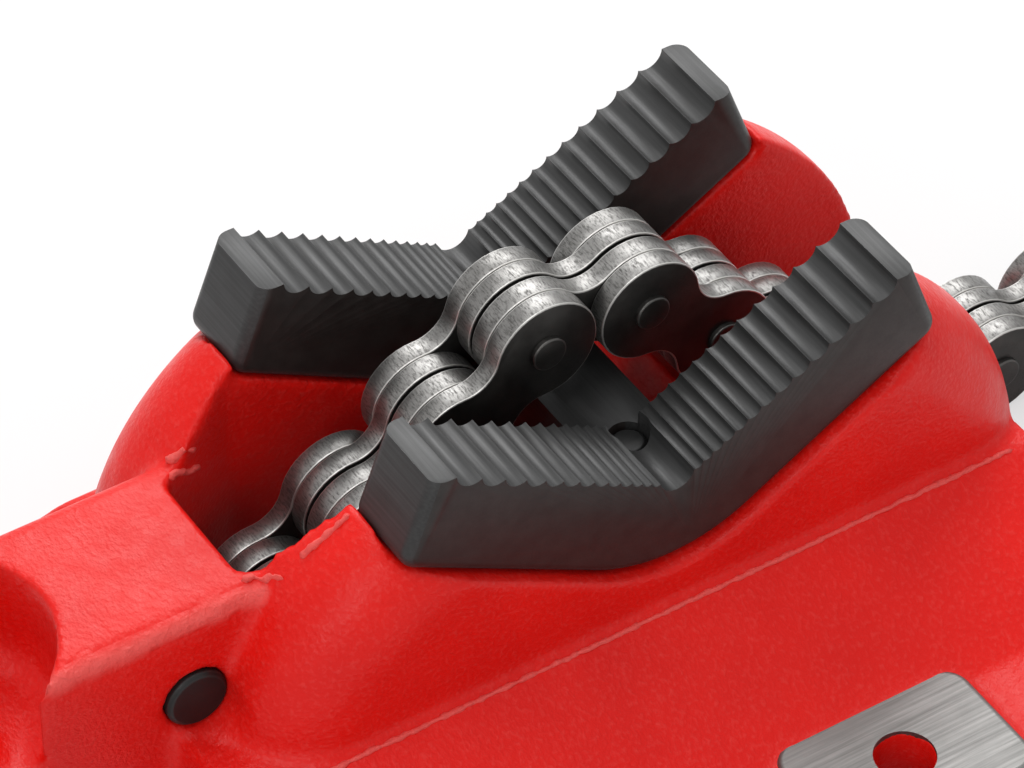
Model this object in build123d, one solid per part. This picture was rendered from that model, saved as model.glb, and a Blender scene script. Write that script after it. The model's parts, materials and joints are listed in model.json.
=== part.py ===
from build123d import *
from math import asin, atan2, cos, degrees, hypot, radians, sin, tan
import os

# A bench chain vise for pipe. A pipe lies in two toothed vee rails, and a
# leaf chain goes over it. The chain is drawn in by a bell crank, which a
# screw with a sliding bar works through a barrel nut.
#
# Everything is drawn with x = 0 at the bottom of the vee, y = 0 midway
# between the rails and z = 0 at the first tooth crest, and is moved to the
# middle of the four bench bolts as it is written.

# Place of the vee over the middle of the bench bolts
vee_offset_x = 13.0
vee_offset_y = 15.0
crest_height = 66.0

# Jaw
rail_width = 20.0
rail_gap = 45.0
arm_angle = 30.0
first_crest_x = 4.1
tooth_count = 13
first_pitch = 2.47
pitch_growth = 1.088
tooth_depth_share = 0.285
land_width = 5.0
rail_thickness = 23.3
end_face_lean = 21.0
end_corner_radius = 4.0
end_edge_radius = 3.0
bottom_radius = 38.0
valley_depth = 3.5
web_length = 19.0
jaw_hole_radius = 4.5
jaw_pin_radius = 3.9
jaw_pin_inset = 2.3
jaw_pin_length = 34.0
jaw_pin_recess = 1.0

# Chain
pitch = 25.4
plate_radius = 12.05
plate_waist = 7.4
plate_thickness = 4.8
plate_gap = 0.12
middle_gap = 0.9
link_pin_radius = 4.0
link_pin_proud = 1.2

# Where the chain's pivots lie, as x and z, from the bell crank on
anchor = (-89.8, -49.4)
chain_rise = 39.0
pivots_on_rise = 3
hump_left = (-10.4, 14.1)
hump_right = (15.0, 12.6)
descent_angles = (-42.0, -42.0, -70.0)
links_on_bench = 11

# Bell crank and its cross pin
crank_x = -101.0
crank_z = -25.4
crank_hub_radius = 13.0
crank_neck_radius = 11.0
crank_end_radius = 10.0
crank_nut_end_radius = 9.0
elbow_x = -112.0
elbow_z = -38.0
elbow_radius = 7.0
crank_pin_radius = 6.9
crank_side_play = 1.0
pin_proud = 1.0
pin_chamfer = 0.8
ring_thickness = 1.2
ring_width = 2.6
ring_opening = 5.0
ring_room = 1.5
groove_depth = 0.9
groove_play = 0.1
pin_past_ring = 1.8

# Draw screw, its seat and its barrel nut
screw_lean = 25.0
seat_x = -159.8
seat_z = -20.0
screw_radius = 7.95
thread_lead = 4.0
draw_turns = 3.5
nut_depth = 22.5
nut_radius = 9.5
nut_half_length = 8.8
trunnion_radius = 5.0
slot_play = 1.5
screw_tip_past_nut = 10.0
washer_thickness = 3.0
washer_radius = 15.5
collar_radius = 14.0
collar_height = 7.0
head_radius = 11.0
head_height = 52.0
screw_chamfer = 1.2

# Sliding handle bar
bar_height = 42.0
bar_radius = 6.0
bar_length = 190.0
cap_radius = 9.0
cap_grip = 10.0
cap_nose = 4.0
cap_rounding = 2.5

# Casting, its arm and its end block
arm_half_width = 22.0
arm_top = -3.6
arm_edge_radius = 5.0
arm_roof = 7.8
slot_half_width = 14.65
slot_left_x = -86.0
taper_end_x = -67.0
slot_right_x = -14.0
scoop_x = -147.1
scoop_radius = 24.3
scoop_floor = -27.0
end_block_left = -186.0
end_block_half_width = 24.0
end_block_corner = 12.0
end_wall = 14.0
seat_wall = 12.0
scoop_wall = 4.5
scoop_floor_wall = 3.2
seat_boss_radius = 19.0

# Casting, its cheeks, base and pads
cheek_half_width = 45.0
cheek_left = -98.0
cheek_right = 95.0
left_lobe_radius = 66.8
right_lobe_radius = 70.5
lobe_z = -46.0
lobe_rounding = 18.0
base_left = -106.0
base_right = 90.0
base_front = -112.0
base_rear = 78.0
base_front_left = -92.0
base_front_right = 58.0
base_front_end = -60.0
base_rear_left = -55.0
base_rear_right = 50.0
base_rear_end = 44.0
base_corner = 14.0
crease_offset = 2.0
crease_height = 33.0
front_hip = -84.0
rear_hip = 55.0
flange_height = 16.5
flange_rounding = 3.0
pad_height = 18.3
front_pad_length = 47.0
front_pad_width = 32.0
rear_pad_length = 30.0
rear_pad_width = 24.0
pad_corner = 6.0
pad_rounding = 2.0
bolt_spacing_x = 70.0
bolt_spacing_y = 160.0
bolt_hole_radius = 6.5
pocket_height = 8.0
pocket_wall = 9.0
pocket_corner = 5.0

# Clearances
running_clearance = 0.06
fit_clearance = 0.05
trunnion_clearance = 0.3
screw_clearance = 0.35
washer_clearance = 0.05
bed_clearance = 0.1
ramp_clearance = 2.0
nut_clearance = 0.3

# How far a cutter passes a face, how high it reaches, and what counts as the same place
past = 1.0
high = 60.0
nearly = 0.01

bench_z = -crest_height
inner_near = middle_gap / 2
inner_far = inner_near + plate_thickness
outer_near = inner_far + plate_gap
outer_far = outer_near + plate_thickness
link_pin_end = outer_far + link_pin_proud
rail_near = rail_gap / 2
rail_far = rail_near + rail_width
jaw_pin_y = rail_near + jaw_pin_inset
draw_travel = thread_lead * draw_turns
seat_axis = Vector(-sin(radians(screw_lean)), 0, cos(radians(screw_lean)))
seat = Vector(seat_x, 0, seat_z)
nut_centre = seat - seat_axis * nut_depth
bar_centre = seat + seat_axis * bar_height
ring_y = arm_half_width + groove_play
ring_inner = crank_pin_radius - groove_depth + fit_clearance
ring_outer = ring_inner + ring_width


# Common shapes
def side_profile(sketch, y_from, y_to):
    """Extrudes a sketch drawn as x and z from one y to another."""
    face = Plane(origin=(0, y_to, 0), x_dir=(1, 0, 0), z_dir=(0, -1, 0)) * sketch
    return extrude(face, y_to - y_from)


def outline(*points):
    return make_face(Polyline(*points, close=True))


def rod_along_y(x, z, radius, y_from, y_to):
    rod = Rot(90, 0, 0) * Cylinder(radius, y_to - y_from)
    return Pos(x, (y_from + y_to) / 2, z) * rod


def post(radius, low, top):
    """An upright cylinder about the origin, from one height to another."""
    return Pos(0, 0, (low + top) / 2) * Cylinder(radius, top - low)


def box_between(start, end):
    """A box given by two opposite corners."""
    middle = [(a + b) / 2 for a, b in zip(start, end)]
    sizes = [abs(b - a) for a, b in zip(start, end)]
    return Pos(*middle) * Box(*sizes)


def on_screw_axis(shape):
    """Stands a shape, drawn upright over the origin, on the leaning seat."""
    return Pos(seat_x, 0, seat_z) * Rot(0, -screw_lean, 0) * shape


# Jaw
def crest_points():
    """Crests along the right arm of the vee, from the valley outwards."""
    along = 0.0
    points = []
    for tooth in range(tooth_count + 1):
        points.append((first_crest_x + along * cos(radians(arm_angle)),
                       along * sin(radians(arm_angle))))
        along += first_pitch * pitch_growth ** tooth
    return points


def scallop(start, end):
    """A round hollow between two crests, dipping below their line."""
    width = hypot(end[0] - start[0], end[1] - start[1])
    dip = tooth_depth_share * width
    slope = atan2(end[1] - start[1], end[0] - start[0])
    middle = ((start[0] + end[0]) / 2 + dip * sin(slope),
              (start[1] + end[1]) / 2 - dip * cos(slope))
    return ThreePointArc(start, middle, end)


def mirrored(point):
    return (-point[0], point[1])


crests = crest_points()
land_end = (crests[-1][0] + land_width, crests[-1][1])
vee_apex_z = -first_crest_x * tan(radians(arm_angle))
underside_apex_z = vee_apex_z - rail_thickness / cos(radians(arm_angle))


def end_face_foot():
    """Where the leaning end face of a rail meets its underside."""
    lean = tan(radians(end_face_lean))
    rise = tan(radians(arm_angle))
    x = (land_end[0] + lean * (land_end[1] - underside_apex_z)) / (1 + lean * rise)
    return (x, underside_apex_z + x * rise)


foot = end_face_foot()


def rail_outline():
    """Side view of a rail: teeth on both arms, lands, end faces, underside."""
    edges = []
    for start, end in zip(crests, crests[1:]):
        edges.append(scallop(start, end))
        edges.append(scallop(mirrored(end), mirrored(start)))
    valley = ThreePointArc(mirrored(crests[0]), (0, -valley_depth), crests[0])
    apex = (0, underside_apex_z)
    right = Polyline(crests[-1], land_end, foot, apex)
    left = Polyline(mirrored(crests[-1]), mirrored(land_end), mirrored(foot), apex)
    face = make_face(edges + [valley] + right.edges() + left.edges())
    face = fillet(face.vertices().sort_by(Axis.Y)[0], bottom_radius)
    feet = [v for v in face.vertices() if abs(abs(v.X) - foot[0]) < nearly]
    return fillet(feet, end_corner_radius)


def make_jaw():
    """Two toothed rails joined by a low web, all one piece."""
    profile = rail_outline()
    rail = side_profile(profile, rail_near, rail_far)
    ends = [e for e in rail.edges().filter_by(GeomType.LINE)
            if abs(e.center().X) > land_end[0] + past
            and abs(e.center().Z - e.start_point().Z) > past]
    rail = fillet(ends, end_edge_radius)
    jaw = rail + mirror(rail, Plane.XZ)
    depth = 2 * rail_thickness
    low_part = profile & (Pos(0, -valley_depth - depth / 2) * Rectangle(web_length, depth))
    jaw += side_profile(low_part, -rail_near, rail_near)
    for side in (-1, 1):
        jaw -= Pos(0, side * jaw_pin_y, 0) * Cylinder(jaw_hole_radius, 4 * rail_thickness)
    return jaw


def make_jaw_pins():
    top = -valley_depth - jaw_pin_recess
    pins = []
    for side in (-1, 1):
        pin = post(jaw_pin_radius, top - jaw_pin_length, top)
        pin = chamfer(pin.edges().filter_by(GeomType.CIRCLE), pin_chamfer)
        pins.append(Pos(0, side * jaw_pin_y, 0) * pin)
    return pins


def jaw_room():
    """What the jaw takes out of the casting, seen from the side."""
    room_foot = (foot[0] + bed_clearance, foot[1] - bed_clearance)
    room_top = (land_end[0] + bed_clearance, land_end[1])
    face = outline((0, underside_apex_z - bed_clearance), room_foot, room_top, (0, high),
                   mirrored(room_top), mirrored(room_foot))
    return fillet(face.vertices().sort_by(Axis.Y)[0], bottom_radius)


# Chain
def ahead(point, angle):
    return (point[0] + pitch * cos(radians(angle)),
            point[1] + pitch * sin(radians(angle)))


def angle_to(start, end):
    return degrees(atan2(end[1] - start[1], end[0] - start[0]))


def chain_pivots():
    """Every pivot of the chain, from the bell crank to the free end."""
    pivots = [anchor]
    for _ in range(pivots_on_rise):
        pivots.append(ahead(pivots[-1], chain_rise))
    for hump in (hump_left, hump_right):
        pivots.append(ahead(pivots[-1], angle_to(pivots[-1], hump)))
    for angle in descent_angles:
        pivots.append(ahead(pivots[-1], angle))
    drop = pivots[-1][1] - (bench_z + plate_radius)
    pivots.append(ahead(pivots[-1], -degrees(asin(drop / pitch))))
    for _ in range(links_on_bench):
        pivots.append(ahead(pivots[-1], 0.0))
    return pivots


def plate_outline():
    """A link plate with two round ends and a narrow waist, drawn along x."""
    half = pitch / 2
    # The waist arc touches both end circles from outside.
    waist_radius = (half ** 2 + plate_waist ** 2 - plate_radius ** 2) / (
        2 * (plate_radius - plate_waist))
    share = plate_radius / (plate_radius + waist_radius)
    x = half * (1 - share)
    z = (plate_waist + waist_radius) * share
    return make_face([
        ThreePointArc((-x, z), (0, plate_waist), (x, z)),
        ThreePointArc((x, z), (half + plate_radius, 0), (x, -z)),
        ThreePointArc((x, -z), (0, -plate_waist), (-x, -z)),
        ThreePointArc((-x, -z), (-half - plate_radius, 0), (-x, z)),
    ])


def between(link, start, end):
    """Moves a link, drawn along x about the origin, between two pivots."""
    middle = Pos((start[0] + end[0]) / 2, 0, (start[1] + end[1]) / 2)
    return middle * Rot(0, -angle_to(start, end), 0) * link


def inner_link():
    """Two plates side by side, bored for the pins of the outer links."""
    plates = []
    for near, far in ((-inner_far, -inner_near), (inner_near, inner_far)):
        plate = side_profile(plate_outline(), near, far)
        for x in (-pitch / 2, pitch / 2):
            plate -= rod_along_y(x, 0, link_pin_radius + running_clearance,
                                 near - past, far + past)
        plates.append(plate)
    return plates


def outer_link():
    """Two plates with the two pins that are riveted into them."""
    link = side_profile(plate_outline(), -outer_far, -outer_near)
    link += side_profile(plate_outline(), outer_near, outer_far)
    for x in (-pitch / 2, pitch / 2):
        link += rod_along_y(x, 0, link_pin_radius, -link_pin_end, link_pin_end)
    return [link]


def chain_links():
    """Named links in order, the first an inner one that hangs on the crank."""
    pivots = chain_pivots()
    kinds = (("inner", inner_link()), ("outer", outer_link()))
    links = []
    for number, (start, end) in enumerate(zip(pivots, pivots[1:])):
        kind, solids = kinds[number % 2]
        placed = [between(solid, start, end) for solid in solids]
        links.append((f"chain_link_{number + 1:02d}_{kind}", placed))
    return links


# Bell crank, screw and nut
def lever(start, start_radius, end, end_radius):
    """The flat shape of a lever that wraps two circles."""
    edges = ShapeList()
    edges += (Pos(*start) * Circle(start_radius)).edges()
    edges += (Pos(*end) * Circle(end_radius)).edges()
    return make_hull(edges)


def make_bell_crank():
    """A forked lever: one fork holds the chain, the other the barrel nut."""
    reach = slot_half_width - crank_side_play
    prong_near = nut_half_length + nut_clearance
    hub = (crank_x, crank_z)
    nut = (nut_centre.X, nut_centre.Z)
    crank = rod_along_y(*hub, crank_hub_radius, -reach, reach)
    chain_arm = lever(hub, crank_neck_radius, anchor, crank_end_radius)
    elbow = (elbow_x, elbow_z)
    # The screw arm drops under the scoop before it reaches out to the nut.
    drop = lever(hub, crank_neck_radius, elbow, elbow_radius)
    screw_arm = lever(elbow, elbow_radius, nut, crank_nut_end_radius)
    for shape, near, far in ((chain_arm, outer_near, outer_far), (drop, prong_near, reach),
                             (screw_arm, prong_near, reach)):
        crank += side_profile(shape, -far, -near)
        crank += side_profile(shape, near, far)
    crank -= rod_along_y(*hub, crank_pin_radius + running_clearance, -high, high)
    crank -= rod_along_y(*anchor, link_pin_radius + fit_clearance, -high, high)
    # The trunnions slide a little along these slots as the crank swings.
    slot = Box(2 * (trunnion_radius + slot_play), 2 * high,
               2 * (trunnion_radius + trunnion_clearance))
    return crank - Pos(nut[0], 0, nut[1]) * Rot(0, -angle_to(hub, nut), 0) * slot


def make_anchor_pin():
    return rod_along_y(*anchor, link_pin_radius, -link_pin_end, link_pin_end)


def make_crank_pin():
    """The cross pin, chamfered at both ends and grooved for its snap ring."""
    rear = ring_y + ring_thickness + pin_past_ring
    pin = rod_along_y(crank_x, crank_z, crank_pin_radius, -arm_half_width - pin_proud, rear)
    pin = chamfer(pin.edges().filter_by(GeomType.CIRCLE), pin_chamfer)
    groove_from = ring_y - groove_play
    groove_to = ring_y + ring_thickness + groove_play
    groove = rod_along_y(crank_x, crank_z, crank_pin_radius + past, groove_from, groove_to)
    groove -= rod_along_y(crank_x, crank_z, crank_pin_radius - groove_depth, groove_from,
                          groove_to)
    return pin - groove


def make_snap_ring():
    """The open ring that keeps the cross pin from sliding out."""
    far = ring_y + ring_thickness
    ring = rod_along_y(crank_x, crank_z, ring_outer, ring_y, far)
    ring -= rod_along_y(crank_x, crank_z, ring_inner, ring_y - past, far + past)
    gap = Box(ring_opening, 4 * ring_thickness, 3 * ring_width)
    return ring - Pos(crank_x, ring_y, crank_z - ring_outer) * gap


def make_draw_screw():
    """Shank, collar and cross-bored head in one piece, on the leaning axis."""
    tip = nut_depth + draw_travel + screw_tip_past_nut
    collar_foot = washer_thickness + 2 * washer_clearance
    screw = post(screw_radius, -tip, collar_foot + past)
    screw += post(collar_radius, collar_foot, collar_foot + collar_height)
    screw += post(head_radius, collar_foot, head_height)
    ends = screw.edges().filter_by(GeomType.CIRCLE).sort_by(Axis.Z)
    screw = chamfer([ends[0], ends[-1]], screw_chamfer)
    bore = Rot(90, 0, 0) * Cylinder(bar_radius + running_clearance, 4 * head_radius)
    return on_screw_axis(screw - Pos(0, 0, bar_height) * bore)


def make_thrust_washer():
    washer = post(washer_radius, washer_clearance, washer_clearance + washer_thickness)
    return on_screw_axis(washer - Cylinder(screw_radius + screw_clearance, high))


def make_barrel_nut():
    """A round nut lying across the screw, with a trunnion at each end."""
    trunnion_end = slot_half_width - crank_side_play
    nut = rod_along_y(nut_centre.X, nut_centre.Z, nut_radius, -nut_half_length,
                      nut_half_length)
    nut += rod_along_y(nut_centre.X, nut_centre.Z, trunnion_radius, -trunnion_end,
                       trunnion_end)
    return nut - on_screw_axis(Cylinder(screw_radius + running_clearance, 2 * high))


def make_handle_bar():
    half = bar_length / 2
    return rod_along_y(bar_centre.X, bar_centre.Z, bar_radius, -half, half)


def make_bar_cap(side):
    """A round-edged cap pressed over one end of the bar."""
    near, far = sorted((side * (bar_length / 2 - cap_grip),
                        side * (bar_length / 2 + cap_nose)))
    cap = rod_along_y(bar_centre.X, bar_centre.Z, cap_radius, near, far)
    cap = fillet(cap.edges().filter_by(GeomType.CIRCLE), cap_rounding)
    return cap - make_handle_bar()


# Casting
def cheek_profile():
    """Side view of the cheeks: two round lobes on an upright foot."""
    left = Pos(cheek_left + left_lobe_radius, lobe_z) * Circle(left_lobe_radius)
    right = Pos(cheek_right - right_lobe_radius, lobe_z) * Circle(right_lobe_radius)
    edges = ShapeList()
    edges += left.edges()
    edges += right.edges()
    middle = (cheek_left + cheek_right) / 2
    width = cheek_right - cheek_left
    upper = make_hull(edges) & (Pos(middle, lobe_z + width / 2) * Rectangle(width, width))
    foot_height = lobe_z - bench_z
    return upper + Pos(middle, bench_z + foot_height / 2) * Rectangle(width, foot_height)


def make_cheeks():
    """Both cheeks as one block, rounded over along its outer edges."""
    block = side_profile(cheek_profile(), -cheek_half_width, cheek_half_width)
    by_y = block.faces().sort_by(Axis.Y)
    outer = by_y[0].edges() + by_y[-1].edges()
    return fillet([e for e in outer if e.center().Z > bench_z + past], lobe_rounding)


def make_base():
    """A flange, and the ridge that slopes down to it on both sides."""
    plan = outline((base_right, base_front_end), (base_front_right, base_front),
                   (base_front_left, base_front), (base_left, base_front_end),
                   (base_left, base_rear_end), (base_rear_left, base_rear),
                   (base_rear_right, base_rear), (base_right, base_rear_end))
    plan = fillet(plan.vertices(), base_corner)
    flange = extrude(plan, flange_height)
    flange = fillet(flange.faces().sort_by(Axis.Z)[-1].edges(), flange_rounding)
    crease_y = cheek_half_width + crease_offset
    section = outline((front_hip, 0), (front_hip, flange_height), (-crease_y, crease_height),
                      (crease_y, crease_height), (rear_hip, flange_height), (rear_hip, 0))
    ridge = extrude(Plane.YZ * section, base_right - base_left, both=True)
    return Pos(0, 0, bench_z) * (flange + (ridge & extrude(plan, crease_height)))


def make_arm():
    """The arm over the bell crank, scooped out round the screw's seat."""
    left = scoop_x - end_wall
    arm = box_between((left, -arm_half_width, bench_z),
                      (taper_end_x, arm_half_width, arm_top))
    top_edges = arm.edges().filter_by(Axis.X).group_by(Axis.Z)[-1]
    arm = fillet(top_edges, arm_edge_radius)
    arm -= Pos(scoop_x, 0, 0) * post(scoop_radius, scoop_floor, high)
    arm -= box_between((left - past, -high, scoop_floor), (scoop_x, high, high))
    block = box_between((end_block_left, -end_block_half_width, bench_z),
                        (scoop_x, end_block_half_width, scoop_floor))
    left_corners = block.edges().filter_by(Axis.Z).group_by(Axis.X)[0]
    block = fillet(left_corners, end_block_corner)
    boss = on_screw_axis(post(seat_boss_radius, -seat_wall, 0))
    return arm + block + boss


def make_bay():
    """The room under the arm for the crank, the nut and the screw's end."""
    left = end_block_left + end_wall
    top = arm_top - arm_roof
    low_top = scoop_floor - scoop_floor_wall
    step_x = scoop_x + scoop_radius + scoop_wall
    under_seat = seat - seat_axis * seat_wall
    slope = tan(radians(screw_lean))
    roof_left = under_seat.Z + (left - under_seat.X) * slope
    roof_end = under_seat.X + (low_top - under_seat.Z) / slope
    right = slot_left_x + past
    face = outline((left, bench_z - past), (left, roof_left), (roof_end, low_top),
                   (step_x, low_top), (step_x, top), (right, top), (right, bench_z - past))
    bay = side_profile(face, -slot_half_width, slot_half_width)
    return bay + on_screw_axis(Cylinder(screw_radius + screw_clearance, 2 * high))


def floor_point(pivot, angle):
    """A point beside a pivot, just clear of a link that heads at an angle."""
    away = plate_radius + ramp_clearance
    return (pivot[0] + away * sin(radians(angle)), pivot[1] - away * cos(radians(angle)))


def make_chain_way():
    """The slot that the chain rises through, its ramp down and the throat."""
    corners = [(slot_left_x, slot_half_width), (taper_end_x, rail_near),
               (slot_right_x, rail_near)]
    plan = outline(*corners, *[(x, -y) for x, y in reversed(corners)])
    way = Pos(0, 0, bench_z - past) * extrude(plan, crest_height + high)
    pivots = chain_pivots()
    fourth, third, second, first = pivots[pivots_on_rise + 2:][:4]
    upper, down, steep = descent_angles
    ramp = [floor_point(fourth, upper), floor_point(third, down), floor_point(second, down),
            floor_point(first, steep)]
    right = cheek_right + past
    face = outline((ramp[0][0], high), *ramp, (ramp[-1][0], bench_z - past),
                   (right, bench_z - past), (right, high))
    return way + side_profile(face, -rail_near, rail_near)


def bolt_place(end, side):
    """Middle of one bench bolt; end is -1 or 1 along x, side along y."""
    return (end * bolt_spacing_x / 2 - vee_offset_x, side * bolt_spacing_y / 2 - vee_offset_y)


def make_pad(length, width):
    """A raised pad for one bench bolt, standing on the bench."""
    pad = box_between((-length / 2, -width / 2, bench_z),
                      (length / 2, width / 2, bench_z + pad_height))
    pad = fillet(pad.edges().filter_by(Axis.Z), pad_corner)
    return fillet(pad.faces().sort_by(Axis.Z)[-1].edges(), pad_rounding)


def make_flange_pocket():
    """A shallow hollow under the front flange, between its two bolts."""
    half = bolt_spacing_x / 2 - bolt_hole_radius - pocket_wall
    pocket = box_between((-vee_offset_x - half, base_front + pocket_wall, bench_z - past),
                         (-vee_offset_x + half, -cheek_half_width - pocket_wall,
                          bench_z + pocket_height))
    return fillet(pocket.edges().filter_by(Axis.Z), pocket_corner)


def make_casting():
    body = make_base() + make_cheeks() + make_arm()
    body -= side_profile(jaw_room(), base_front, base_rear)
    body = body - make_chain_way() - make_bay()
    for side, pad in ((-1, make_pad(front_pad_length, front_pad_width)),
                      (1, make_pad(rear_pad_length, rear_pad_width))):
        for end in (-1, 1):
            x, y = bolt_place(end, side)
            body += Pos(x, y, 0) * pad
            body -= Pos(x, y, bench_z) * Cylinder(bolt_hole_radius, 4 * pad_height)
    body -= make_flange_pocket()
    for side in (-1, 1):
        pin_foot = -valley_depth - jaw_pin_recess - jaw_pin_length
        hole = post(jaw_pin_radius + fit_clearance, pin_foot - fit_clearance, high)
        body -= Pos(0, side * jaw_pin_y, 0) * hole
    body -= rod_along_y(crank_x, crank_z, crank_pin_radius + fit_clearance,
                        base_front, base_rear)
    return body - rod_along_y(crank_x, crank_z, ring_outer + ring_room, arm_half_width,
                              base_rear)


def pieces():
    """Every piece by name, as a list of solids."""
    named = [
        ("body_casting", [make_casting()]),
        ("vee_jaw", [make_jaw()]),
        ("jaw_pins", make_jaw_pins()),
        ("bell_crank", [make_bell_crank()]),
        ("crank_pin", [make_crank_pin()]),
        ("crank_pin_ring", [make_snap_ring()]),
        ("chain_anchor_pin", [make_anchor_pin()]),
        ("draw_screw", [make_draw_screw()]),
        ("thrust_washer", [make_thrust_washer()]),
        ("barrel_nut", [make_barrel_nut()]),
        ("handle_bar", [make_handle_bar()]),
        ("bar_cap_front", [make_bar_cap(-1)]),
        ("bar_cap_rear", [make_bar_cap(1)]),
    ]
    return named + chain_links()


def main():
    os.makedirs("parts", exist_ok=True)
    to_bolts = Pos(vee_offset_x, vee_offset_y, crest_height)
    for name, solids in pieces():
        moved = [to_bolts * solid for solid in solids]
        shape = moved[0] if len(moved) == 1 else Compound(children=moved)
        export_step(shape, f"parts/{name}.step")


main()
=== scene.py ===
# %% [markdown]
# # A bench chain vise
# This lesson dresses a finished construction model in Blender. The model
# comes in as a fixed frame: every steel piece has its real size and place,
# and moves with a named body. Blender adds what the eye needs, which is soft
# cast corners, lips of flash, worn edges and the finish of each surface.
# The construction's own meshes are never edited: a piece that needs another
# shape starts from a copy or is built anew, and stands in for the original.

# %% Load the frame
import json
from math import atan2, cos, pi, radians, sin

import bmesh
import bpy
from mathutils import Matrix, Vector, noise
from mathutils.bvhtree import BVHTree


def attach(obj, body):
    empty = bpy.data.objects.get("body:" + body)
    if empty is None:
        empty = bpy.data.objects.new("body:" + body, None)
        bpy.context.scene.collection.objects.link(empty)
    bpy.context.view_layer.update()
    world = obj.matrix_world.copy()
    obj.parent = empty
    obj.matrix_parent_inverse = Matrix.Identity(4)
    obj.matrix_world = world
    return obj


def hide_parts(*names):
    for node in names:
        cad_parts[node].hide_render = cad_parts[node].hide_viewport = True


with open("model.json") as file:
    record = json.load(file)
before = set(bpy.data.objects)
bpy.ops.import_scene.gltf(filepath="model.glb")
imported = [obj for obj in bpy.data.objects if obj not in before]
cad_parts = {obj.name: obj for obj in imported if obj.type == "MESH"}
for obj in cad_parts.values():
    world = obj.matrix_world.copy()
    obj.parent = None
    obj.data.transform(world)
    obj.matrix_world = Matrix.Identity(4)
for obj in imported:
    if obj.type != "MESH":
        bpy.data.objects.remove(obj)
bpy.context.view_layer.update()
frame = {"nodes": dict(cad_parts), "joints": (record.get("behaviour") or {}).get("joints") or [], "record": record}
scene = bpy.context.scene
MM = 0.001

# %% [markdown]
# The camera comes first, because every later judgement is made through it.
# It looks down at the vise from the front left with a long lens, so that the
# rails stay nearly parallel. A camera could be aimed by a constraint, but
# three plain angles can be checked against the photograph one at a time. The
# small roll is there because the photograph itself is not quite level.

# %% Camera
CAMERA_PLACE = Vector((-0.40792, -0.60952, 0.78532))
CAMERA_AZIMUTH = radians(33.20)
CAMERA_ELEVATION = radians(44.04)
CAMERA_ROLL = radians(0.58)
LENS = 177.4
SENSOR = 36.0
PICTURE = (1024, 768)

camera = bpy.data.objects.new("camera", bpy.data.cameras.new("camera"))
camera.data.lens = LENS
camera.data.sensor_width = SENSOR
camera.matrix_world = (Matrix.Translation(CAMERA_PLACE)
                       @ Matrix.Rotation(-CAMERA_AZIMUTH, 4, "Z")
                       @ Matrix.Rotation(pi / 2 - CAMERA_ELEVATION, 4, "X")
                       @ Matrix.Rotation(CAMERA_ROLL, 4, "Z"))
scene.collection.objects.link(camera)
scene.camera = camera
print("camera", tuple(round(value, 3) for value in CAMERA_PLACE), "lens", LENS)


def sight_line(pixel):
    """The direction in which the camera sees a pixel of the picture."""
    width, height = PICTURE
    right = (pixel[0] - width / 2) * SENSOR / (width * LENS)
    up = (height / 2 - pixel[1]) * SENSOR / (width * LENS)
    return (camera.matrix_world.to_3x3() @ Vector((right, up, -1.0))).normalized()


# %% [markdown]
# ## Finishes
# A finish is a small graph of nodes. Every graph here reads Object
# coordinates, so a pattern keeps its real size and stays on its piece. The
# helpers below add one node each, which keeps the finishes short to read.


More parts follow.
